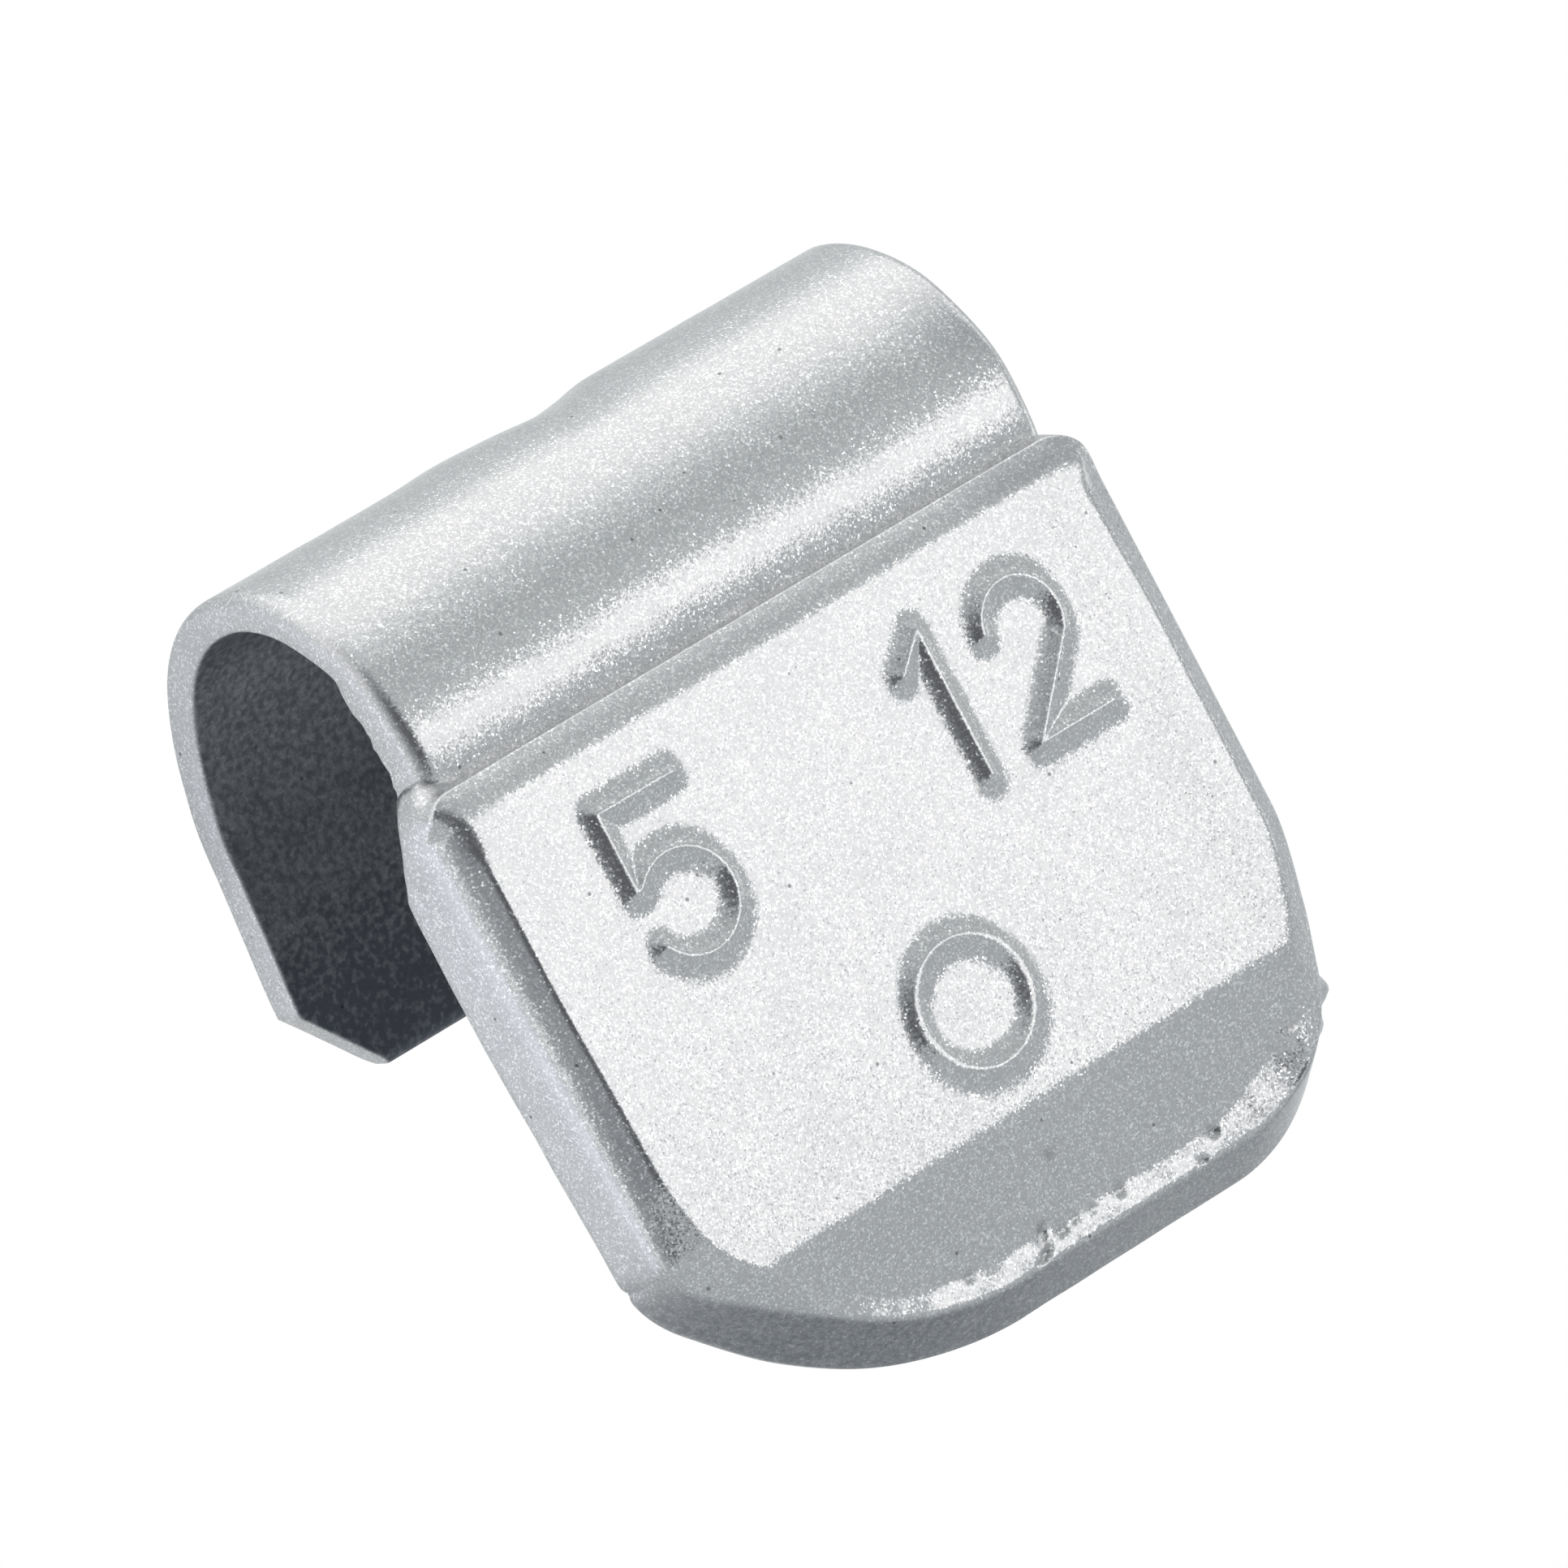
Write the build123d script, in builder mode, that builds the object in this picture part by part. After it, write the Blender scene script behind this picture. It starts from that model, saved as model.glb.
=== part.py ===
"""Clip-on wheel balance weight: a folded steel clip with a zinc body cast around its tongue.

Frame, in millimetres: the X axis is the centre line of the hook's inner arch, which sits over the
rim's lip. +X runs along the rim, -Y is the marked face of the body and +Z is the hook's crown.
"""

import os
from math import cos, radians, sin, tan

from build123d import *

# Spring-steel clip: one strip, folded into a hook
clip_width = 16.0
sheet = 0.85
seat_radius = 3.2  # inside of the arch, over the rim's lip
back_radius = 5.9  # inside of the wider bend that eases the arch into the leg
arch_end_angle = 41.0  # where the wider bend takes over, above the level of the seat
leg_flare = 9.0  # lean of the leg away from the body
leg_drop = 5.85  # leg's tip below the level of the seat
tip_chamfer = 1.5  # both corners of the leg's tip are cut off
tuck_angle = 15.5  # the arch runs this far past upright before it enters the body
tuck_radius = 1.6  # bend back to upright, on the seat's side of the strip

# Tongue of the clip, inside the casting
shoulder_depth = 1.0  # full-width part of the strip that is sunk in the body
tongue_width = 9.0
tongue_length = 5.5
tongue_round = 0.6
anchor_hole_diameter = 3.0  # zinc runs through it and locks the body on

# Zinc body, cast around the tongue
body_left = 8.74  # reach to each side of the hook's middle, at the back, where the casting is widest
body_right = 8.6
body_height = 14.39
front_cover = 0.77  # zinc in front of the tongue
back_cover = 0.58  # zinc behind it
edge_land = 0.4  # upright wall at the back, along the mould's parting line
draft = 6.5  # the side walls lean in towards the front, to leave the mould
rim_lean = 37.0  # the lower wall leans in much more
wall_lean = 1.4  # the left wall also leans in towards the bottom
trim_height = 3.79  # the lower left corner is trimmed off, from this far above the bottom
trim_angle = 46.0  # turn of the trimmed edge from the wall
trim_radii = (2.0, 3.5, 4.2)  # upper end of the trimmed edge, at the back, the chamfer's foot and the face
run_out_radii = (9.0, 7.0, 4.5)  # its lower end, where it runs out into the bottom
corner_radii = (4.0, 5.3, 4.5)  # lower right corner
shoulder_radius = 0.7  # two upper corners
chamfer_left = 0.64  # width of the chamfer down each side of the face
chamfer_right = 0.72
chamfer_depth = 0.55  # how far it goes back from the face
top_bevel_height = 0.53  # flat bevel along the face's top
top_bevel_depth = 0.75  # it runs back to the clip
bevel_height = 3.8  # lower part of the front that slopes back
bevel_angle = 22.0
lip_height = 1.38  # the slope ends in a narrow upright lip, from this far above the bottom
rim_clearance = 0.3  # the casting stands back this far from the wheel rim's edge
back_slope = 33.0  # lean of the casting's top behind the tongue

# Levels worked out from the sizes above, in the plane across the rim
outer_radius = seat_radius + sheet
body_top = -outer_radius * sin(radians(tuck_angle))
body_bottom = body_top - body_height
shoulder_end = body_top - shoulder_depth
tongue_end = shoulder_end - tongue_length
tongue_back = -seat_radius * cos(radians(tuck_angle)) + tuck_radius * (1 - cos(radians(tuck_angle)))
tongue_front = tongue_back - sheet
face_y = tongue_front - front_cover
back_y = tongue_back + back_cover
chamfer_y = face_y + chamfer_depth
land_y = back_y - edge_land
wall_inset = (land_y - chamfer_y) * tan(radians(draft))
rim_inset = (land_y - chamfer_y) * tan(radians(rim_lean))
bevel_top = body_bottom + bevel_height
lip_top = body_bottom + lip_height
lip_y = face_y + (bevel_top - lip_top) * tan(radians(bevel_angle))
trim_top = body_bottom + trim_height
trim_left = (body_top - trim_top) * tan(radians(wall_lean)) - body_left
trim_end = trim_left + trim_height * tan(radians(trim_angle))
trim_turn = tan(radians(trim_angle / 2))

os.makedirs("parts", exist_ok=True)

# The strip's section is drawn along its inner side, from the leg's tip over the arch to the tongue
with BuildPart() as clip:
    with BuildSketch(Plane.YZ) as section:
        with BuildLine() as inner_side:
            arch = CenterArc((0, 0), seat_radius, arch_end_angle, 180 + tuck_angle - arch_end_angle)
            tuck = JernArc(arch @ 1, arch % 1, tuck_radius, -tuck_angle)
            Line(tuck @ 1, (tongue_back, tongue_end))
            ease = JernArc(arch @ 0, (arch % 0) * -1, back_radius, leg_flare - arch_end_angle)
            leg_length = ((ease @ 1).Y + leg_drop) / cos(radians(leg_flare))
            PolarLine(ease @ 1, leg_length, leg_flare - 90)
            offset(amount=sheet, side=Side.RIGHT)
        make_face()
    extrude(amount=clip_width / 2, both=True)

    # The leg's tip has both corners cut off, so that it slides over the rim
    leg_tip = clip.faces().filter_by(lambda face: face.center().Y > 0).sort_by(Axis.Z)[0]
    chamfer(leg_tip.edges().filter_by(Axis.X, reverse=True), length=tip_chamfer)

    # Below its shoulders the strip narrows to the tongue
    tongue_middle = (shoulder_end + tongue_end) / 2
    with BuildSketch(Plane.XZ.offset(-tongue_back)):
        with Locations((0, tongue_middle)):
            Rectangle(clip_width, tongue_length)
            Rectangle(tongue_width, tongue_length, mode=Mode.SUBTRACT)
    extrude(amount=sheet, mode=Mode.SUBTRACT)
    tongue_tip = clip.faces().filter_by(lambda face: face.center().Y < 0).sort_by(Axis.Z)[0]
    fillet(tongue_tip.edges().filter_by(Axis.Y), radius=tongue_round)
    with BuildSketch(Plane.XZ.offset(-tongue_back)):
        with Locations((0, tongue_middle)):
            Circle(anchor_hole_diameter / 2)
    extrude(amount=sheet, mode=Mode.SUBTRACT)
clip.part.label = "clip"
export_step(clip.part, "parts/clip.step")

# The body tapers forward from its flat back and parting line, through the foot of the chamfer, to the face
with BuildPart() as weight_body:
    for y, left, right, low, stage in (
        (back_y, 0, 0, 0, 0),
        (land_y, 0, 0, 0, 0),
        (chamfer_y, wall_inset, wall_inset, rim_inset, 1),
        (face_y, wall_inset + chamfer_left, wall_inset + chamfer_right, rim_inset + chamfer_right, 2),
    ):
        with BuildSketch(Plane.XZ.offset(-y)) as outline:
            with BuildLine():
                Polyline(
                    (left - body_left, body_top),
                    (trim_left + left, trim_top + left * trim_turn),
                    (trim_end + low * trim_turn, body_bottom + low),
                    (body_right - right, body_bottom + low),
                    (body_right - right, body_top),
                    close=True,
                )
            make_face()
            fillet(outline.vertices().group_by(Axis.Y)[-1], radius=shoulder_radius)
            for corner, radii in (
                ((trim_left + left, trim_top), trim_radii),
                ((trim_end, body_bottom), run_out_radii),
                ((body_right, body_bottom), corner_radii),
            ):
                fillet(outline.vertices().sort_by_distance(corner)[0], radius=radii[stage])
    loft(ruled=True)

    # The front has a flat bevel along its top, and a flat slope that ends in the lip along the bottom
    clear = front_cover
    with BuildSketch(Plane.YZ):
        with BuildLine():
            Polyline(
                (face_y, bevel_top),
                (lip_y, lip_top),
                (lip_y, body_bottom - clear),
                (face_y - clear, body_bottom - clear),
                (face_y - clear, bevel_top),
                close=True,
            )
        make_face()
        with BuildLine():
            Polyline(
                (face_y, body_top - top_bevel_height),
                (face_y + 2 * top_bevel_depth, body_top + top_bevel_height),
                (face_y - clear, body_top + top_bevel_height),
                (face_y - clear, body_top - top_bevel_height),
                close=True,
            )
        make_face()
    extrude(amount=body_left + clear, both=True, mode=Mode.SUBTRACT)

    # The clip's tongue keeps its place in the casting, and zinc fills its anchor hole
    add(clip.part, mode=Mode.SUBTRACT)

    # Behind the tongue the casting slopes away, so that only the hook touches the wheel's rim
    rim_space = 2 * (seat_radius + rim_clearance)
    Box(2 * body_left, rim_space, rim_space, rotation=(back_slope, 0, 0), mode=Mode.SUBTRACT)
weight_body.part.label = "weight_body"
export_step(weight_body.part, "parts/weight_body.step")
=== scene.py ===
"""Looks of a clip-on wheel balance weight: silver flake paint over a folded steel clip and its casting.

Shapes are worked out in millimetres in the CAD frame, and become metres when a mesh is made.
"""

from math import cos, pi, radians, sin, tan
from types import SimpleNamespace

import bmesh
import bpy
import numpy as np
from mathutils import Matrix, Vector


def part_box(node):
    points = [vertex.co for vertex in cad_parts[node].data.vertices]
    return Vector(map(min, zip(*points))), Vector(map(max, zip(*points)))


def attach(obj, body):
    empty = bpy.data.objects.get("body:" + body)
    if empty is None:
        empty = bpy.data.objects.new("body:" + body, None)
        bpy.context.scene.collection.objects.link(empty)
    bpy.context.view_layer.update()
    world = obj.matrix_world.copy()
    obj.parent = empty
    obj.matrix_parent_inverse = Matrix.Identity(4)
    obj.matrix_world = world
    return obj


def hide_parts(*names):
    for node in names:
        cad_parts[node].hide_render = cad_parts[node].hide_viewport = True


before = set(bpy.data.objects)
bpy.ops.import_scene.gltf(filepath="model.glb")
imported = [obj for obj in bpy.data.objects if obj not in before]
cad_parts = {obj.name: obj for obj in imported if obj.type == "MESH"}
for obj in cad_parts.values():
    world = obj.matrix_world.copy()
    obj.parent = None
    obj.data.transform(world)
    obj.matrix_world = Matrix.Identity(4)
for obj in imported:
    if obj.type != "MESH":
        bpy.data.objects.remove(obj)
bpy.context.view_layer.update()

MM = 0.001

# Sizes taken from the frame
half_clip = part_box("clip")[1][0] / MM
body_low, body_high = (np.array(corner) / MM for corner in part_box("weight_body"))
body_left, face_y, body_bottom = body_low
body_right, back_y = body_high[:2]
margin = 0.02  # walls and the strip's cut ends stay about this far inside the CAD's box

# The strip's section follows the CAD, in a slightly thinner sheet, so that its waves stay inside too
seat_radius = 3.2
sheet = 0.80
back_radius = 5.9  # wider bend that eases the arch into the leg
arch_end = radians(41)
leg_flare = radians(9)
leg_tip = -5.85
tuck_end = radians(195.5)
tuck_radius = 1.6
sunk_depth = 1.4  # the strip runs this far down inside the casting
tip_cut = 1.5  # both corners of the leg's tip are cut off
tip_slant = 0.88
leg_edge, arch_edge = 0.14, 0.40  # radius of the painted outer edges, at the leg and at the front
cut_edge = 0.10  # radius of the inner edges

# The casting's outline and section
body_top = -1.00
shoulder_radius, far_shoulder = 0.80, 1.20  # upper left and upper right corners
wall_lean = radians(1.9)  # the lower part of the left wall leans in towards the bottom
lean_radius = 30.0
trim_height = 3.80  # the lower left corner is trimmed off, from this far above the bottom
trim_corner = -8.49  # where the lines of the left wall and the trimmed edge would meet
trim_bend = radians(44)
trim_radius = 2.3
run_out_bend = pi / 2 - wall_lean - trim_bend
run_out_radius = 8.9
corner_radius = 4.0
face_level = face_y + 0.008  # the painted face lies just inside the CAD's
face_top = -1.60
chamfer_y = -4.09  # foot of the chamfer down each side
slope_top = -11.85  # the lower front slopes back from here down
slope_tilt = 0.404
wall_land = 0.25  # upright land at the back, along the mould's parting line
back_round = 0.1
upper_y, upper_z = -4.517, -1.248  # the bevel along the face's top leans back more from here up
lower_rise, upper_rise = tan(radians(20)), tan(radians(29))
ledge_rise = tan(radians(13))  # the narrow ledge between that bevel and the clip
mark_height = 0.15


def smoothstep(low, high, value):
    share = np.clip((value - low) / (high - low), 0, 1)
    return share * share * (3 - 2 * share)


def blend(a, b, share):
    return a + (b - a) * share


def bump(value, centre, width):
    """A smooth bump of height 1."""
    return np.exp(-(((value - centre) / width) ** 2))


def rounded_max(a, b, width):
    """The larger of two heights, with the edge between them rounded."""
    near = np.clip(width - np.abs(a - b), 0, None) / width
    return np.maximum(a, b) + near * near * width / 4


def ripple(a, b, size, seed):
    """A smooth random height from -1 to 1 over a plane, in patches of one size."""
    cells = 89
    lattice = np.random.default_rng(seed).uniform(-1, 1, (cells, cells))
    a, b = np.asarray(a) / size, np.asarray(b) / size
    i, j = np.floor(a).astype(int), np.floor(b).astype(int)
    u, v = smoothstep(0, 1, a - i), smoothstep(0, 1, b - j)

    def corner(m, n):
        return lattice[(i + m) % cells, (j + n) % cells]

    return blend(blend(corner(0, 0), corner(1, 0), u), blend(corner(0, 1), corner(1, 1), u), v)


def length_along(points):
    """The length of a line of points, from its start to each of them."""
    return np.concatenate([[0], np.cumsum(np.linalg.norm(np.diff(points, axis=0), axis=1))])


def between(first, second):
    """Four-sided faces between two closed rings of points."""
    first, second = np.asarray(first), np.asarray(second)
    return np.stack([first, np.roll(first, -1), np.roll(second, -1), second], 1).tolist()


def new_piece(name, points, faces, node, material, marks):
    """A smooth mesh that stands for a CAD node; its marks say where shade is painted on it and where it
    is matt.
    """
    mesh = bpy.data.meshes.new(name)
    mesh.from_pydata((np.asarray(points) * MM).tolist(), [], faces)
    work = bmesh.new()
    work.from_mesh(mesh)
    bmesh.ops.recalc_face_normals(work, faces=work.faces)
    work.to_mesh(mesh)
    work.free()
    mesh.polygons.foreach_set("use_smooth", [True] * len(mesh.polygons))
    for label, values in marks.items():
        attribute = mesh.attributes.new(label, "FLOAT", "POINT")
        attribute.data.foreach_set("value", np.asarray(values, np.float32))
    mesh.materials.append(material)
    piece = bpy.data.objects.new(name, mesh)
    bpy.context.scene.collection.objects.link(piece)
    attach(piece, "root")
    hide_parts(node)


# The clip


def strip_line(step):
    """The strip's inner side, from the leg's tip to the tongue: places and outward directions."""

    def bend(centre, radius, start, end):
        turn = np.arange(0, 1, step / abs(radius * (end - start))) * (end - start) + start
        away = np.stack([np.cos(turn), np.sin(turn)], 1)
        return centre + radius * away, away

    def straight(start, end, away):
        share = np.arange(0, 1, step / np.linalg.norm(end - start))[:, None]
        return start + share * (end - start), np.tile(away, (len(share), 1))

    def direction(angle):
        return np.array([cos(angle), sin(angle)])

    ease_centre = (seat_radius - back_radius) * direction(arch_end)
    leg_start = ease_centre + back_radius * direction(leg_flare)
    leg_way = np.array([sin(leg_flare), -cos(leg_flare)])
    leg_end = leg_start + leg_way * (leg_start[1] - leg_tip) / cos(leg_flare)
    tuck_centre = (seat_radius + tuck_radius) * direction(tuck_end)
    tongue_start = tuck_centre + [tuck_radius, 0]
    runs = [
        straight(leg_end, leg_start, direction(leg_flare)),
        bend(ease_centre, back_radius, leg_flare, arch_end),
        bend(np.zeros(2), seat_radius, arch_end, tuck_end),
        bend(tuck_centre, -tuck_radius, tuck_end, pi),
        straight(tongue_start, tongue_start - [0, sunk_depth], direction(pi)),
    ]
    return np.concatenate([run[0] for run in runs]), np.concatenate([run[1] for run in runs])


def strip_ring():
    """One ring round the strip: share of its half width, and turn of its surface, outside first."""
    across = np.linspace(-1, 1, 110)
    turn = np.linspace(pi / 2, -pi / 2, 17)[1:-1]
    share = np.concatenate([across, 0 * turn + 1, across[::-1], 0 * turn - 1])
    return share, np.concatenate([0 * across + pi / 2, turn, 0 * across - pi / 2, turn[::-1]])


def crown_dent(x, angle):
    """A shallow kink across the hook's crown."""
    dent = 0.05 * bump(x, -2.0, 0.7) - 0.12 * bump(x, 0.45, 0.9)
    dent = blend(dent, 0.052, smoothstep(1.25, 2.05, x))
    return dent * bump(angle, radians(80), radians(26))


def leg_swell(s, angle):
    """How far the leg's outer side stands out."""
    return 0.07 * smoothstep(radians(70), radians(30), angle) + 0.05 * bump(s, 3.2, 1.6)


def tip_round(s):
    """Share of the strip's thickness near the leg's tip, which is rounded."""
    return np.sqrt(np.clip(1 - np.clip(1 - (s + 0.05) / 0.3, 0, 1) ** 2, 0, 1))


def strip_paint(x, z, turn, angle, outer, burr):
    """Painted shade on the strip: inside the hook, on the cut ends along the leg and at the far end; and
    where it is matt.
    """
    # Painted shade over the inner side, in the hook, but none on the burr
    painted_shade = smoothstep(radians(-10), radians(-75), turn) * (1 - np.clip(2 * burr, 0, 1))
    edge = smoothstep(0.3, 0.9, np.cos(turn))
    matt = np.maximum(0.7 * edge, painted_shade)
    # The painted shade inside the hook is lighter towards the top
    painted_shade *= blend(1.0, 0.80, smoothstep(-4.6, -1.5, z))
    # Painted shade on the cut ends along the leg and the back of the arch, strongest around Z 0.2
    end_face = edge * smoothstep(radians(120), radians(70), angle)
    painted_shade = np.maximum(painted_shade, end_face * blend(0.08, 0.24, bump(z, 0.2, 1.9)))
    # Painted shade on the outer side at the far end, round 153 degrees
    far_end_shade = outer * smoothstep(5.9, 7.6, x) * bump(angle, radians(153), radians(15))
    painted_shade = np.maximum(painted_shade, 0.22 * far_end_shade)
    return {"pit_shade_and_dust": np.zeros(x.size), "painted_shade": painted_shade.ravel(), "matt": matt.ravel()}


def make_clip(material):
    inner, away = strip_line(0.1)
    half = sheet / 2
    middle = inner + half * away
    along = length_along(middle)
    share, turn = strip_ring()
    s, turn = np.meshgrid(along, turn, indexing="ij")
    angle = np.arctan2(away[:, 1], away[:, 0])[:, None] % (2 * pi)
    outer = turn > -0.01

    # The width, with its rounded edges and the corners that are cut off the leg's tip
    outer_edge = blend(leg_edge, arch_edge, smoothstep(radians(60), radians(130), angle))
    edge = np.where(outer, outer_edge, cut_edge)
    tip_side = np.clip(tip_cut - tip_slant * along, 0, None)
    half_width = (half_clip - margin - tip_side + margin * ripple(along, 0 * along, 1.1, 3))[:, None]
    x = share * (half_width - edge * (1 - np.cos(turn)))
    offset = np.where(outer, half - edge, edge - half) + edge * np.sin(turn)

    # The sheet isn't quite even
    wave = 0.010 * ripple(x + 20, s, 2.3, 5) + 0.004 * ripple(x + 20, s, 0.6, 6) - 0.014
    outside = wave + crown_dent(x, angle) + leg_swell(s, angle)
    off = offset * tip_round(s) + np.where(outer, outside, -wave * 0.5)

    # A ragged burr hangs from the inner edge at the near end, where the strip was cut
    burr = smoothstep(1.0, 0.0, (half_width + x) / 0.45) * smoothstep(radians(148), radians(156), angle)
    ragged = 0.27 + 0.07 * ripple(s, 0 * s, 0.45, 7) + 0.04 * ripple(s, 0 * s, 0.17, 8)
    off -= (offset < -0.2 * half) * burr * ragged

    y, z = (middle[:, axis, None] + off * away[:, axis, None] for axis in (0, 1))
    points = np.stack([x, y, z], 2).reshape(-1, 3)
    index = np.arange(len(points)).reshape(len(along), -1)
    faces = [face for first, second in zip(index, index[1:]) for face in between(first, second)]
    faces += [index[0].tolist(), index[-1].tolist()]
    marks = strip_paint(x, z, turn, angle, outer, burr)
    new_piece("clip_strip", points, faces, "clip", material, marks)


# The casting


def trail(start, heading, moves, step):
    """Points and outward directions along straight runs (length, 0) and left bends (radius, angle)."""
    point = np.array(start, float)
    places, outward = [], []
    for size, angle in moves:
        length = size * angle if angle else size
        run = np.arange(0, length, step)[:, None]
        way = heading + (run / size if angle else 0 * run)
        if angle:
            swing = np.hstack([np.sin(way) - sin(heading), cos(heading) - np.cos(way)])
            places.append(point + size * swing)
            end = heading + angle
            point = point + size * np.array([sin(end) - sin(heading), cos(heading) - cos(end)])
            heading = end
        else:
            places.append(point + run * [cos(heading), sin(heading)])
            point = point + length * np.array([cos(heading), sin(heading)])
        outward.append(np.hstack([np.sin(way), -np.cos(way)]))
    return np.concatenate(places), np.concatenate(outward)


def outline_moves():
    """Runs and bends of the casting's back outline, from the middle of its top round by the left."""
    bottom = body_bottom + margin
    right_wall = body_right - margin
    left_wall = body_left + margin
    trim_top = bottom + trim_height
    lean_top = trim_top + (trim_corner - left_wall) / tan(wall_lean)
    trim_end = trim_corner + trim_height / tan(run_out_bend)
    lean_run = lean_radius * tan(wall_lean / 2)
    trim_run = trim_radius * tan(trim_bend / 2)
    run_out = run_out_radius * tan(run_out_bend / 2)
    return [
        (-left_wall - shoulder_radius, 0),
        (shoulder_radius, pi / 2),
        (body_top - shoulder_radius - lean_top - lean_run, 0),
        (lean_radius, wall_lean),
        ((lean_top - trim_top) / cos(wall_lean) - lean_run - trim_run, 0),
        (trim_radius, trim_bend),
        (trim_height / sin(run_out_bend) - trim_run - run_out, 0),
        (run_out_radius, run_out_bend),
        (right_wall - corner_radius - trim_end - run_out, 0),
        (corner_radius, pi / 2),
        (body_top - far_shoulder - bottom - corner_radius, 0),
        (far_shoulder, pi / 2),
        (right_wall - far_shoulder, 0),
    ]


class Outline:
    """The casting's back outline, and how its section changes round it."""

    def __init__(self):
        moves = outline_moves()
        lengths = [size * angle if angle else size for size, angle in moves]
        ends = np.cumsum(lengths)
        self.points, self.out = trail((0, body_top), pi, moves, 0.02)
        self.along = length_along(self.points)
        self.total = ends[-1]

        # The four sides of the front's grid start at these places along the outline
        upper_left, trimmed_edge, lower_right, upper_right = 1, 6, 9, 11  # numbers in the list of moves
        last_corner = ends[upper_right] - lengths[upper_right] / 2
        self.corners = [
            last_corner - self.total,
            ends[upper_left - 1] + lengths[upper_left] / 2,
            ends[trimmed_edge],
            ends[lower_right] - lengths[lower_right] / 2,
            last_corner,
        ]
        self.set_section()
        self.set_foot()

    def set_section(self):
        """How far in the face, the bead and the chamfer's foot start, and how round their edges are."""
        x, z = self.points.T
        left = smoothstep(1, -1, x)
        far_right = smoothstep(4.2, 6.0, x)
        top = smoothstep(0.0, 1.0, self.out[:, 1])
        low = blend(smoothstep(-9.3, -12.7, z), smoothstep(-10.8, -14.0, z), left)
        left_side = left * (1 - top) * (1 - low)
        self.top, self.low = top, low
        self.bead_in = blend(blend(1.38, 1.66, far_right), 1.18, smoothstep(-2.0, -5.0, x))
        self.bead = low * smoothstep(-7.0, -4.6, x) * smoothstep(8.3, 7.2, x)
        left_face = blend(0.69, 1.05, smoothstep(-9.2, -11.9, z))
        right_face = blend(0.78, 0.90, smoothstep(-5.0, -2.2, z))
        low_face = blend(1.10, 1.60, far_right)
        face_in = blend(blend(right_face, left_face, left), low_face, low)
        self.face_in = blend(face_in, body_top - face_top, top) - 0.5 * (1 - left) * top * (1 - top)
        side_foot = blend(0.10, blend(0.12, 0.22, smoothstep(-10.5, -6.0, z)), left)
        self.foot_in = blend(blend(side_foot, 0.74, low), 0.01, top)
        self.softness = blend(blend(0.10, 0.08, left_side), 0.06, top) + 0.9 * left * top * (1 - top)
        self.foot_round = blend(blend(0.10, 0.26, left_side), 0.03, top)

    def set_foot(self):
        """The Y of the chamfer's foot, and how steeply the chamfer rises from the face to it."""
        foot = self.points - self.out * self.foot_in[:, None]
        low_y = self.slope(foot[:, 1]) - self.bead_height(self.foot_in, slice(None), *foot.T)
        foot_y = blend(chamfer_y, np.maximum(low_y, chamfer_y), self.low)
        self.rise = blend((foot_y - face_y) / (self.face_in - self.foot_in), lower_rise, self.top)
        self.foot_y = blend(foot_y, upper_y + (body_top - upper_z) * upper_rise, self.top)

    def slope(self, z):
        """The Y of the sloping lower front."""
        return face_level + slope_tilt * (slope_top - z)

    def bead_height(self, inside, which, x, z):
        """Paint ran down to the lower edge and dried there as a bead, which stands out like a lip."""
        soft = 0.04
        forward = 1.02  # the lip leans forward a little from upright
        start = self.bead_in[which] + 0.025 * ripple(x, z, 0.35, 23) + 0.05 * ripple(x, z, 0.9, 24)
        lift = np.clip(start - inside, 0, None)
        return self.bead[which] * slope_tilt * forward * (np.sqrt(lift**2 + soft**2) - soft)

    def flash(self, x, z):
        """Thin flash along the parting line, with two lumps at the right and a nick at the left."""
        lumps = (0.34 * bump(z, -13.05, 0.27) + 0.17 * bump(z, -13.65, 0.22)) * (x > 0)
        left_nick = 0.07 * bump(z, -11.1, 0.10) * (x < 0)
        left_rag = (0.06 * ripple(x, z, 0.3, 12) - 0.07) * smoothstep(-3.4, -2.1, z) * (x < 0)
        return lumps + left_rag - left_nick - 0.010 * (1 + ripple(x + 30, z + 30, 0.8, 11))

    def at(self, along):
        """The outline and its section at some places along it."""

        def here(values):
            return np.interp(along % self.total, self.along, values)

        place = np.stack([here(values) for values in self.points.T], 1)
        return SimpleNamespace(
            place=place,
            inward=-np.stack([here(values) for values in self.out.T], 1),
            foot_in=here(self.foot_in),
            foot_y=here(self.foot_y) + hollow(place[:, 0]),
            foot_round=here(self.foot_round),
            low=here(self.low),
            top=here(self.top),
        )

    def nearest(self, x, z):
        """For each place, the distance to the outline and the outline's own point."""
        batch = 4000
        distance, which = np.empty(len(x)), np.empty(len(x), int)
        coarse = np.arange(0, len(self.points), 2)
        for start in range(0, len(x), batch):
            part = slice(start, start + batch)
            gap_x = x[part, None] - self.points[None, coarse, 0]
            gap_z = z[part, None] - self.points[None, coarse, 1]
            gap = gap_x**2 + gap_z**2
            distance[part] = np.sqrt(gap.min(1))
            which[part] = coarse[gap.argmin(1)]
        return distance, which


def stroke_distance(x, z, line):
    """Distance from each place to a chain of straight strokes."""
    best = np.full(np.shape(x), np.inf)
    for (ax, az), (bx, bz) in zip(line, line[1:]):
        run = (bx - ax) ** 2 + (bz - az) ** 2
        share = np.clip(((x - ax) * (bx - ax) + (z - az) * (bz - az)) / run, 0, 1)
        best = np.minimum(best, np.hypot(x - ax - share * (bx - ax), z - az - share * (bz - az)))
    return best


def arc_line(centre, radii, start, end, count):
    turn = np.radians(np.linspace(start, end, count))
    return [(centre[0] + radii[0] * cos(t), centre[1] + radii[1] * sin(t)) for t in turn]


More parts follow.
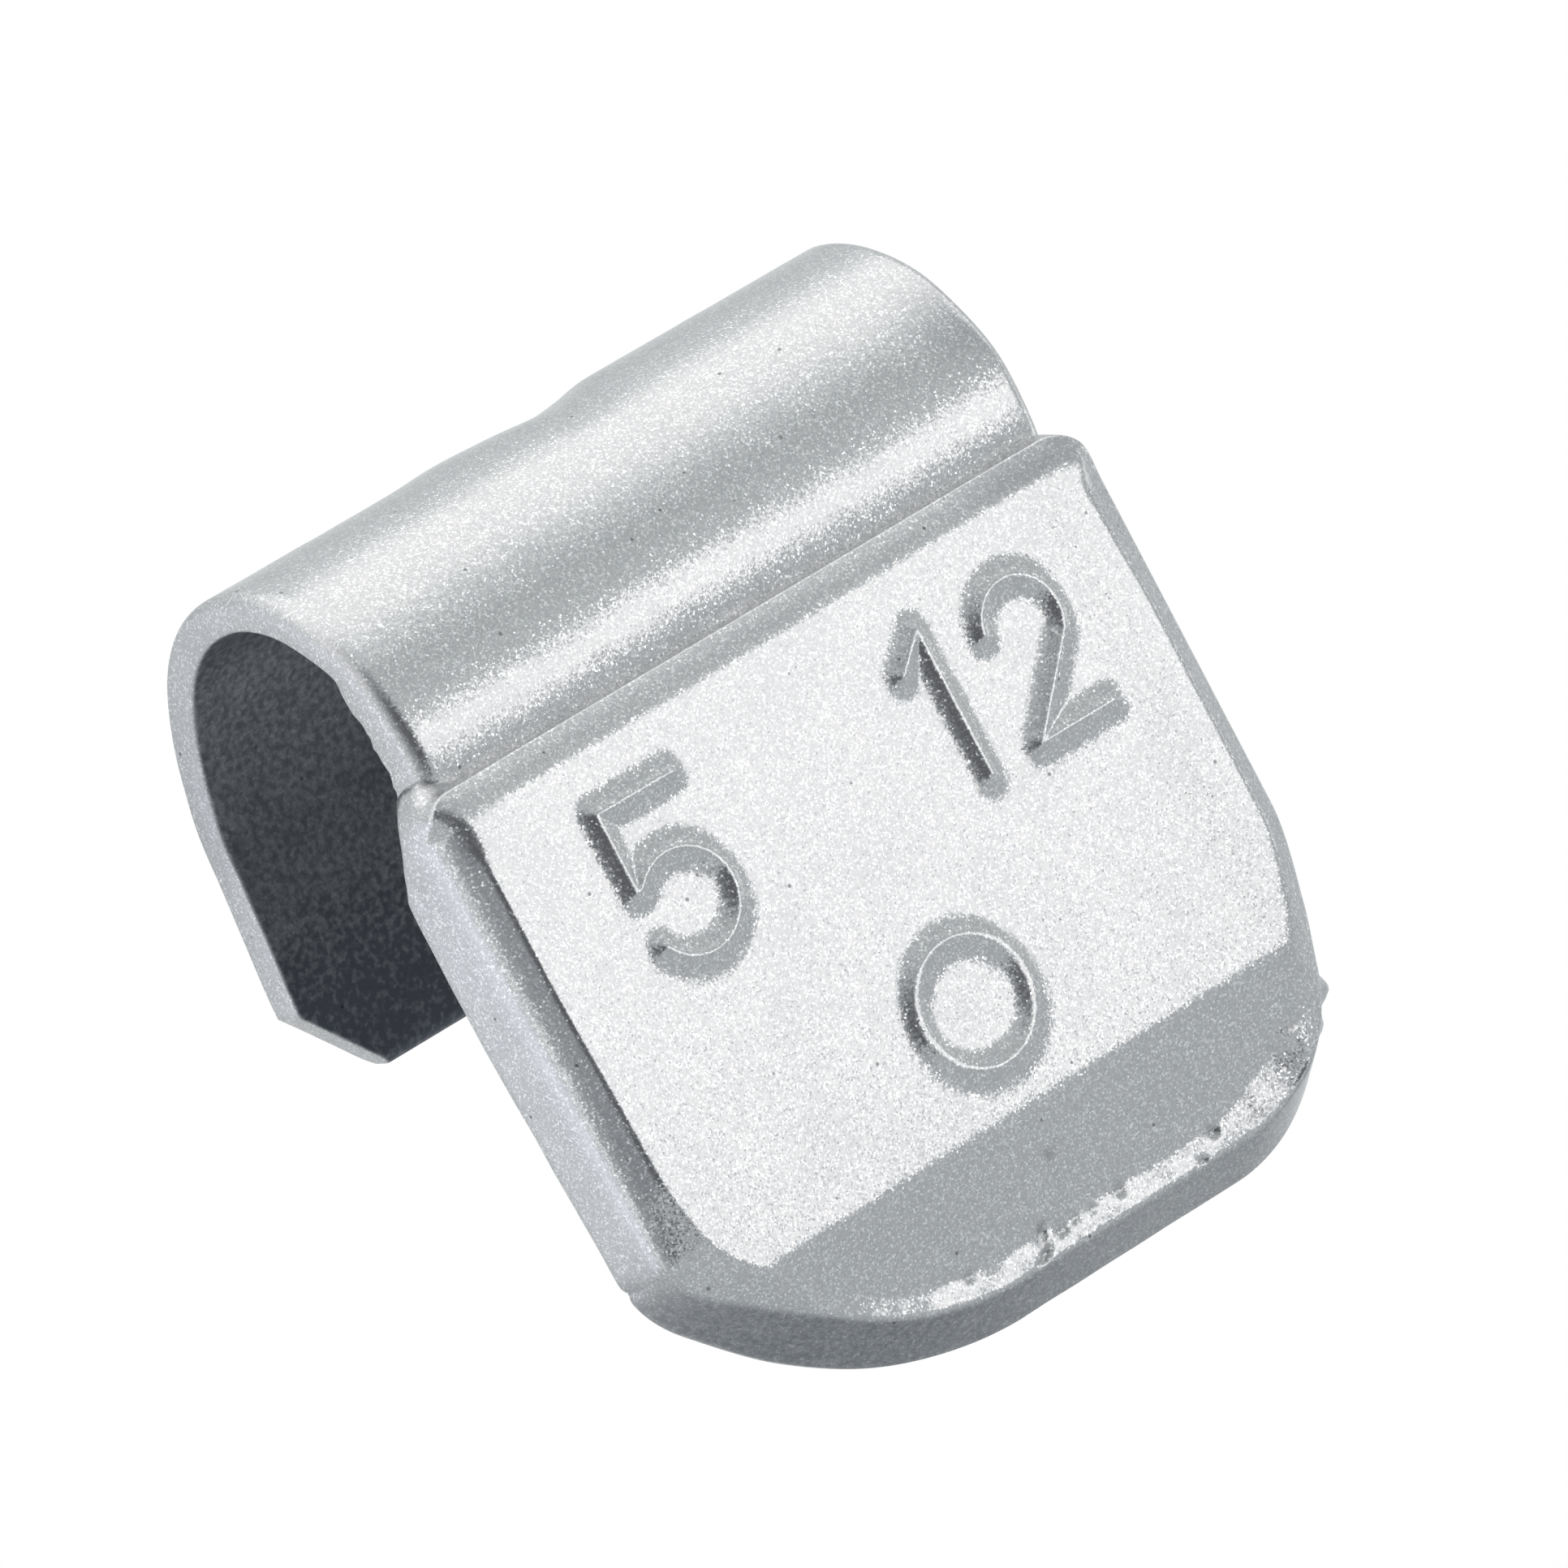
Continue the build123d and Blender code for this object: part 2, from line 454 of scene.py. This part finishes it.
def mark_lines():
    """The crests of plain raised numbers, and of a plain ring below them."""
    five = [(-3.47, -2.82), (-5.37, -2.81), (-5.38, -4.46)]
    five += arc_line((-4.42, -5.10), (1.07, 1.04), 140, -150, 24)
    one = [(2.06, -3.55), (2.81, -2.90), (2.81, -6.02)]
    two = arc_line((5.01, -3.83), (0.92, 0.93), 170, -32, 18) + [(4.13, -6.00), (6.01, -6.00)]
    ring = arc_line((0.11, -9.55), (1.30, 1.30), 0, 360, 49)
    return [five, one, two, ring]


def ridge_height(distance):
    """A raised stroke: its flanks rise softly from the face and steepen to a narrow crest."""
    half_width, crest_width, steepening = 0.53, 0.025, 1.9
    share = np.clip((distance - crest_width) / (half_width - crest_width), 0, 1)
    return mark_height * (1 - share) ** steepening


# Burst bubbles in the paint along the lip, and one pit in the slope: place, radius and depth
pits = (
    (-2.25, -14.10, 0.11, 0.07),
    (0.07, -14.30, 0.12, 0.07),
    (0.44, -14.23, 0.10, 0.06),
    (0.85, -14.27, 0.09, 0.05),
    (1.62, -14.23, 0.12, 0.07),
    (4.11, -14.22, 0.13, 0.08),
    (3.62, -14.64, 0.11, 0.07),
    (0.29, -12.85, 0.13, 0.06),
)
crack = [(-0.30, -13.98), (-0.46, -14.29), (-0.42, -14.45), (-0.64, -14.64)]


def blemish(x, z):
    """How deep the surface is pitted or cracked at each place."""
    depth = 0.10 * bump(stroke_distance(x, z, crack), 0, 0.07)
    for pit_x, pit_z, radius, pit_depth in pits:
        depth += pit_depth * np.exp(-(((x - pit_x) ** 2 + (z - pit_z) ** 2) / radius**2))
    return depth


def hollow(x):
    """The face is slightly hollow across its middle, by as much as the marks stand out."""
    return (mark_height + 0.004) * smoothstep(-7.9, -6.1, x) * smoothstep(7.75, 5.9, x)


def front_height(outline, x, z):
    """The Y of the casting's front over each place."""
    inside, which = outline.nearest(x, z)
    edge = face_y + (outline.face_in[which] - inside) * outline.rise[which]
    upper = upper_y + (z - upper_z) * upper_rise
    level = face_level + 0.003 * ripple(x + 40, z + 40, 1.7, 21)
    slope = outline.slope(z) - outline.bead_height(inside, which, x, z)
    y = rounded_max(rounded_max(level, slope, 0.04), edge, outline.softness[which])
    y = rounded_max(y, upper, 0.03) + hollow(x)
    nearest_stroke = np.min([stroke_distance(x, z, line) for line in mark_lines()], axis=0)
    return y - ridge_height(nearest_stroke) + blemish(x, z)


def soft_front(outline, x, z):
    """The front again, with its two upper corners softened by paint that filled and rounded them."""
    y = front_height(outline, x, z)
    corner = np.hypot((np.abs(x) - 7.85) / 1.2, z + 1.75)
    share = smoothstep(1.0, 0.45, corner)
    near = share > 0
    turns = np.radians(np.arange(0, 360, 45))
    steps = [(reach * cos(turn), reach * sin(turn)) for reach in (0.09, 0.18, 0.27) for turn in turns]
    around = [front_height(outline, x[near] + step_x, z[near] + step_z) for step_x, step_z in steps]
    y[near] = blend(y[near], np.mean(around, axis=0), share[near])
    return y


def graded(stops, steps):
    """Grid lines between stops, each stretch with its own step."""
    counts = [max(1, round((b - a) / step)) for a, b, step in zip(stops, stops[1:], steps)]
    lines = [np.linspace(a, b, count + 1)[:-1] for a, b, count in zip(stops, stops[1:], counts)]
    return np.concatenate(lines + [[stops[-1]]])


def grid_rim(grid):
    """The outer points of the front's grid, from its upper right corner round by the upper left."""
    return np.concatenate([grid[:0:-1, -1], grid[0, :0:-1], grid[:-1, 0], grid[-1, :-1]])


def rim_along(outline, columns, rows):
    """The place along the outline that belongs to each point of the grid's rim."""
    across, upward = ((lines - lines[0]) / (lines[-1] - lines[0]) for lines in (columns, rows))
    shares = (1 - across[:0:-1], 1 - upward[:0:-1], across[:-1], upward[:-1])
    sides = zip(outline.corners, outline.corners[1:], shares)
    return np.concatenate([a + share * (b - a) for a, b, share in sides])


def front_mesh(outline, here, middle, grid):
    """The front's points and faces, a grid with rings round it, and the outermost ring's numbers."""
    rim = grid_rim(grid)
    start = here.place + here.inward * (here.foot_in + here.foot_round)[:, None]
    shares = np.linspace(0, 1, 40)[:-1] ** 1.35
    rings = [start + (middle[rim] - start) * share for share in shares]
    flat = np.concatenate([middle] + rings)
    front = np.stack([flat[:, 0], soft_front(outline, flat[:, 0], flat[:, 1]), flat[:, 1]], 1)
    index = [len(middle) + np.arange(len(rim)) + n * len(rim) for n in range(len(rings))] + [rim]
    faces = [face for first, second in zip(index, index[1:]) for face in between(first, second)]
    quads = np.stack([grid[:-1, :-1], grid[1:, :-1], grid[1:, 1:], grid[:-1, 1:]], 2)
    return front, faces + quads.reshape(-1, 4).tolist(), index[0]


def front_paint(outline, x, z):
    """Painted shade on the front, in the pits and on the right chamfer, and where it is matt (the top
    bevel).
    """
    depth, which = outline.nearest(x, z)
    chamfer = smoothstep(0.06, -0.04, depth - outline.face_in[which]) * (1 - outline.low[which])
    return {
        # Painted shade in the pits and the crack, darker where they are deeper
        "pit_shade_and_dust": np.clip(5 * blemish(x, z), 0, 0.6),
        # Painted shade on the right chamfer, growing towards its right end
        "painted_shade": 0.20 * chamfer * smoothstep(4.0, 7.0, x),
        "matt": 0.25 * smoothstep(face_top - 0.02, face_top + 0.06, z),
    }


def wall_path(here, front_y):
    """The wall's rings, as distance inside the outline and Y, from the chamfer's foot to the back."""

    def curve(a, b, c, t):
        return (1 - t) ** 2 * a + 2 * t * (1 - t) * b + t * t * c

    wall_y = back_y - wall_land
    foot = np.stack([here.foot_in, here.foot_y], 1)
    way = np.stack([here.foot_in, here.foot_y - wall_y], 1)
    way = way / np.linalg.norm(way, axis=1)[:, None]
    wall_in, wall_start = (foot - here.foot_round[:, None] * way).T
    path = []
    for t in (0.2, 0.4, 0.6, 0.8, 1.0):
        inside = curve(here.foot_in + here.foot_round, here.foot_in, wall_in, t)
        path.append((inside, curve(front_y, here.foot_y, wall_start, t)))
    for t in np.linspace(0, 1, 13)[1:]:
        path.append((wall_in * (1 - t), blend(wall_start, wall_y, t)))
    for t in np.radians([0, 22, 45, 67, 90]):
        level = back_y - back_round * (1 - sin(t))
        path.append((back_round * (1 - cos(t)) + 0 * wall_in, level + 0 * wall_in))
    return path


def wall_ring(outline, here, inside, level):
    """One ring of the wall, in X and Z."""
    spot = here.place + here.inward * inside[:, None]

    # The ledge in front of the clip is tilted, and paint has gathered beside the strip's near end
    spot[:, 1] += ledge_rise * np.clip(level - here.foot_y, 0, 0.5) * here.top
    beside = bump(np.abs(spot[:, 0]), 8.0, 0.36)
    cheek = 0.26 * beside * smoothstep(-2.4, -1.4, spot[:, 1]) * (spot[:, 0] < 0)
    spot[:, 1] += cheek * smoothstep(-4.2, -3.7, level)

    # Behind the strip the casting slopes away from the wheel's rim
    drop = np.clip(1.54 * (level + 3.25 - 0.28 * beside), 0, None)
    spot[:, 1] -= drop * np.clip((spot[:, 1] + 4.5) / 3.4, 0, 1)

    flash = outline.flash(*spot.T) * smoothstep(back_y - 1.0, back_y - 0.35, level)
    return spot - here.inward * flash[:, None]


def wall_paint(here, step, z):
    """Painted shade on one ring of the wall, along the bottom, and where it is matt, as at the left."""
    place_x, place_z = here.place.T
    # Painted shade along the bottom and round the lower left corner, stronger to the left and on rings
    # farther back from the front
    lower_left = smoothstep(-10.2, -12.2, place_z) * smoothstep(-4, -6, place_x)
    thin = np.maximum(here.low, lower_left) * blend(0.35, 0.62, smoothstep(3, -5, place_x))
    left_wall = (1 - here.low) * smoothstep(0.2, 0.8, here.inward[:, 0])
    ledge = 0.45 * smoothstep(-1.4, -1.2, z)
    return {
        "pit_shade_and_dust": np.zeros(len(z)),
        "painted_shade": thin * smoothstep(0, 4, step),
        "matt": np.maximum(0.7 * left_wall * smoothstep(2, 8, step), ledge),
    }


def make_body(material):
    outline = Outline()

    # The grid has fine lines at the marks
    columns = graded([-6.6, -5.8, -2.8, 1.8, 6.6], [0.12, 0.04, 0.10, 0.04])
    rows = graded([-12.3, -11.2, -8.0, -6.4, -2.1], [0.12, 0.06, 0.12, 0.04])
    grid = np.arange(len(columns) * len(rows)).reshape(len(columns), len(rows))
    middle = np.stack(np.meshgrid(columns, rows, indexing="ij"), 2).reshape(-1, 2)

    here = outline.at(rim_along(outline, columns, rows))
    front, faces, last = front_mesh(outline, here, middle, grid)
    points = [front]
    paint = [front_paint(outline, front[:, 0], front[:, 2])]
    total = len(front)
    for step, (inside, level) in enumerate(wall_path(here, front[last, 1])):
        spot = wall_ring(outline, here, inside, level)
        points.append(np.stack([spot[:, 0], level, spot[:, 1]], 1))
        paint.append(wall_paint(here, step, spot[:, 1]))
        ring = total + np.arange(len(spot))
        total += len(spot)
        faces += between(last, ring)
        last = ring
    faces.append(last.tolist())
    points = np.concatenate(points)
    marks = {label: np.concatenate([part[label] for part in paint]) for label in paint[0]}
    new_piece("weight_casting", points, faces, "weight_body", material, marks)


# Materials

dark_flake, light_flake = (0.535, 0.545, 0.555, 1), (0.635, 0.63, 0.625, 1)
tipped_flake = (0.98, 0.985, 0.99, 1)
# Grey for painted shade, and near black for painted shade in the pits and for specks of dust
painted_shade_grey = (0.115, 0.127, 0.148, 1)
pit_shade_and_dust_colour = (0.02, 0.02, 0.022, 1)
floor_colour = (0.612, 0.632, 0.646, 1)
white = (1, 1, 1, 1)


class Graph:
    """A node tree, with short calls to add to it."""

    def __init__(self, tree):
        self.tree = tree

    def feed(self, socket, value):
        """Set an input to a constant, or link it to another node's output."""
        if isinstance(value, bpy.types.NodeSocket):
            self.tree.links.new(value, socket)
        else:
            socket.default_value = value

    def node(self, kind, links=(), **settings):
        node = self.tree.nodes.new(kind)
        for name, value in settings.items():
            setattr(node, name, value)
        for socket, value in dict(links).items():
            self.feed(node.inputs[socket], value)
        return node

    def maths(self, operation, *values, clamp=False):
        node = self.node("ShaderNodeMath", enumerate(values), operation=operation, use_clamp=clamp)
        return node.outputs[0]

    def vector(self, operation, *values):
        return self.node("ShaderNodeVectorMath", enumerate(values), operation=operation).outputs[0]

    def scaled(self, vector, factor):
        links = {0: vector, "Scale": factor}
        return self.node("ShaderNodeVectorMath", links, operation="SCALE").outputs[0]

    def noise(self, place, scale, detail):
        links = {"Vector": place, "Scale": scale, "Detail": detail}
        return self.node("ShaderNodeTexNoise", links).outputs["Fac"]

    def attribute(self, name):
        return self.node("ShaderNodeAttribute", attribute_name=name).outputs["Fac"]

    def range(self, value, low, high, new_low=0.0, new_high=1.0):
        links = {"Value": value, "From Min": low, "From Max": high}
        links.update({"To Min": new_low, "To Max": new_high})
        return self.node("ShaderNodeMapRange", links, interpolation_type="SMOOTHSTEP").outputs[0]

    def mix(self, share, a, b):
        node = self.node("ShaderNodeMix", {0: share, 6: a, 7: b}, data_type="RGBA")
        return node.outputs[2]


def flake_normal(graph, place, flakes, tipped, matt):
    """Each flake tilts its own way, less where the paint is matt, and the film is slightly uneven."""
    spread = graph.vector("MULTIPLY_ADD", flakes, (2, 2, 2), (-1, -1, -1))
    gloss = graph.maths("SUBTRACT", 1.0, matt)
    reach = graph.maths("MULTIPLY", graph.maths("MULTIPLY_ADD", tipped, 0.13, 0.05), gloss)
    tilt = graph.scaled(spread, reach)
    peel = {"Strength": 0.06, "Distance": 0.02 * MM, "Height": graph.noise(place, 4.0, 2.0)}
    film = graph.node("ShaderNodeBump", peel).outputs[0]
    return graph.vector("NORMALIZE", graph.vector("ADD", film, tilt))


def flake_colour(graph, flakes, tipped, cloud):
    """Flakes of slightly different silvers, in soft clouds."""
    shade = graph.node("ShaderNodeSeparateColor", {"Color": flakes}).outputs[0]
    silver = graph.mix(graph.range(shade, 0, 1), dark_flake, light_flake)
    silver = graph.mix(graph.range(cloud, 0.35, 0.7, 0, 0.25), silver, dark_flake)
    return graph.mix(tipped, silver, tipped_flake)


def shaded_dusty_colour(graph, place, silver):
    """The silver, with painted shade, near-black painted shade in the pits and a few specks of dust."""
    # The painted shade is mottled; the pits get near-black painted shade, and dust gives a few dark
    # specks
    mottle = graph.range(graph.noise(place, 7.0, 4.0), 0.3, 0.7, 0.82, 1.16)
    painted_shade = graph.maths("MULTIPLY", graph.attribute("painted_shade"), mottle, clamp=True)
    dust = graph.node("ShaderNodeTexVoronoi", {"Vector": place, "Scale": 1.25}).outputs["Distance"]
    specks = graph.range(dust, 0.065, 0.035, 0.0, 0.6)
    pit_shade_and_dust = graph.maths("MAXIMUM", graph.attribute("pit_shade_and_dust"), specks)
    return graph.mix(pit_shade_and_dust, graph.mix(painted_shade, silver, painted_shade_grey), pit_shade_and_dust_colour)


def flake_paint(name):
    """Silver paint: fine metal flakes in a thin uneven film."""
    material = bpy.data.materials.new(name)
    material.use_nodes = True
    graph = Graph(material.node_tree)
    place = graph.scaled(graph.node("ShaderNodeTexCoord").outputs["Object"], 1 / MM)

    # Flakes are cells about 0.035 mm across. Most lie flat, and the few tipped ones shine brighter
    cells = graph.node("ShaderNodeTexVoronoi", {"Vector": place, "Scale": 28.0}).outputs
    chance = graph.node("ShaderNodeTexWhiteNoise", {"Vector": cells["Position"]}).outputs["Value"]
    tipped = graph.maths("POWER", chance, 5.0)
    cloud = graph.noise(place, 0.6, 4.0)
    matt = graph.attribute("matt")
    silver = flake_colour(graph, cells["Color"], tipped, cloud)
    rough = graph.maths("MULTIPLY_ADD", matt, 0.40, graph.range(cloud, 0.3, 0.7, 0.12, 0.17))

    shader = material.node_tree.nodes["Principled BSDF"].inputs
    graph.feed(shader["Base Color"], shaded_dusty_colour(graph, place, silver))
    graph.feed(shader["Roughness"], rough)
    graph.feed(shader["Normal"], flake_normal(graph, place, cells["Color"], tipped, matt))
    graph.feed(shader["Metallic"], 1.0)
    return material


def floor_paint():
    """Pale under the part; farther out white to the camera and, more so behind, to reflections."""
    material = bpy.data.materials.new("pale_floor")
    material.use_nodes = True
    graph = Graph(material.node_tree)
    plain = material.node_tree.nodes["Principled BSDF"]
    graph.feed(plain.inputs["Base Color"], floor_colour)
    graph.feed(plain.inputs["Roughness"], 0.8)
    glow = graph.node("ShaderNodeEmission", {"Color": white, "Strength": 1.0}).outputs[0]
    place = graph.node("ShaderNodeTexCoord").outputs["Object"]
    reach = graph.node("ShaderNodeVectorMath", {0: place}, operation="LENGTH").outputs["Value"]
    far = graph.range(reach, 12 * MM, 28 * MM)
    depth = graph.node("ShaderNodeSeparateXYZ", {0: place}).outputs["Y"]
    behind = graph.range(depth, -40 * MM, 160 * MM)
    path = graph.node("ShaderNodeLightPath").outputs
    mirrored = graph.maths("MAXIMUM", path["Is Glossy Ray"], path["Is Transmission Ray"])
    seen = graph.maths("MAXIMUM", path["Is Camera Ray"], graph.maths("MULTIPLY", mirrored, behind))
    share = graph.maths("MULTIPLY", seen, far)
    both = graph.node("ShaderNodeMixShader", {0: share, 1: plain.outputs[0], 2: glow}).outputs[0]
    graph.feed(material.node_tree.nodes["Material Output"].inputs["Surface"], both)
    return material


# The studio


def make_camera():
    """The photo's camera, found from the straight edges and corners that it shows."""
    azimuth, elevation, roll = radians(-31.67), radians(5.30), radians(-27.81)
    distance, shift_right, shift_up = 294.7, -0.124, 2.849
    aim = Vector((0, -4.645, -1.600))
    back = Vector((sin(azimuth) * cos(elevation), -cos(azimuth) * cos(elevation), sin(elevation)))
    level = (-back).cross(Vector((0, 0, 1))).normalized()
    upright = level.cross(-back)
    right = cos(roll) * level + sin(roll) * upright
    up = -sin(roll) * level + cos(roll) * upright
    data = bpy.data.cameras.new("camera")
    data.lens = 358.5
    data.sensor_width = 36
    data.clip_start = 0.01
    camera = bpy.data.objects.new("camera", data)
    place = Matrix((right, up, back)).transposed().to_4x4()
    place.translation = (aim - shift_right * right - shift_up * up + distance * back) * MM
    camera.matrix_world = place
    bpy.context.scene.collection.objects.link(camera)
    bpy.context.scene.camera = camera


def softbox(name, direction, distance, width, height, radiance):
    """A soft lamp that faces the object, of a given brightness as seen from it."""
    data = bpy.data.lights.new(name, "AREA")
    data.shape = "RECTANGLE"
    data.size, data.size_y = width * MM, height * MM
    data.energy = radiance * pi * data.size * data.size_y
    data.color = (1.0, 0.96, 0.955)
    lamp = bpy.data.objects.new(name, data)
    away = Vector(direction).normalized()
    lamp.matrix_world = away.to_track_quat("Z", "Y").to_matrix().to_4x4()
    lamp.location = (Vector((0, -1, -5)) + distance * away) * MM
    lamp.visible_camera = False
    bpy.context.scene.collection.objects.link(lamp)


# Brightness of the room, by degrees from the part's back over its top or bottom to its front
room_levels = (
    (0, 0.80),
    (12, 0.78),
    (24, 0.70),
    (34, 0.73),
    (58, 0.90),
    (64, 1.10),
    (70, 1.28),
    (80, 1.34),
    (90, 1.30),
    (108, 1.22),
    (120, 1.02),
    (132, 0.77),
    (144, 0.64),
    (166, 0.72),
    (180, 0.72),
)

# Two dark cards at the front left and a pale one at the back left: direction, soft edge and colour
room_cards = (
    ((-0.60, -0.80, 0.0), 0.50, 0.95, (0.35, 0.365, 0.385, 1)),
    ((-0.47, -0.883, 0.0), 0.82, 0.985, (0.16, 0.165, 0.175, 1)),
    ((-0.85, 0.53, 0.0), 0.89, 0.97, (1.08, 1.10, 1.18, 1)),
)


def make_world():
    """A pale room: brightest overhead, dimmer in front, cool where it is dim, with three cards."""
    world = bpy.data.worlds.new("studio")
    world.use_nodes = True
    graph = Graph(world.node_tree)
    way = graph.node("ShaderNodeTexCoord").outputs["Generated"]
    parts = graph.node("ShaderNodeSeparateXYZ", {0: way}).outputs
    height = graph.maths("ABSOLUTE", graph.maths("ARCTAN2", parts["Z"], parts["Y"]))
    ramp = graph.node("ShaderNodeValToRGB", {0: graph.maths("DIVIDE", height, pi)})
    stops = ramp.color_ramp.elements
    while len(stops) < len(room_levels):
        stops.new(1.0)
    for stop, (degrees, level) in zip(stops, room_levels):
        stop.position = degrees / 180
        cool = 0.04 * min(1.0, max(0.0, (1.25 - level) / 0.4))
        stop.color = ((1 - cool) * level, level, (1 + 0.3 * cool) * level, 1)
    room = ramp.outputs[0]
    for axis, far, near, colour in room_cards:
        toward = graph.node("ShaderNodeVectorMath", {0: way, 1: axis}, operation="DOT_PRODUCT")
        room = graph.mix(graph.range(toward.outputs["Value"], far, near), room, colour)
    seen = graph.node("ShaderNodeLightPath").outputs["Is Camera Ray"]
    graph.feed(world.node_tree.nodes["Background"].inputs["Color"], graph.mix(seen, room, white))
    bpy.context.scene.world = world


def make_floor():
    """A pale floor that runs out into the white of the background."""
    mesh = bpy.data.meshes.new("floor")
    work = bmesh.new()
    bmesh.ops.create_circle(work, cap_ends=True, radius=85 * MM, segments=96)
    work.to_mesh(mesh)
    work.free()
    mesh.materials.append(floor_paint())
    floor = bpy.data.objects.new("floor", mesh)
    floor.location = (0, 0, -29 * MM)
    bpy.context.scene.collection.objects.link(floor)


make_camera()
make_world()
make_floor()
softbox("key_softbox", (0.523, -0.848, -0.057), distance=220, width=205, height=77, radiance=0.70)
make_clip(flake_paint("clip_silver"))
make_body(flake_paint("body_silver"))
bpy.context.scene.view_settings.view_transform = "Standard"
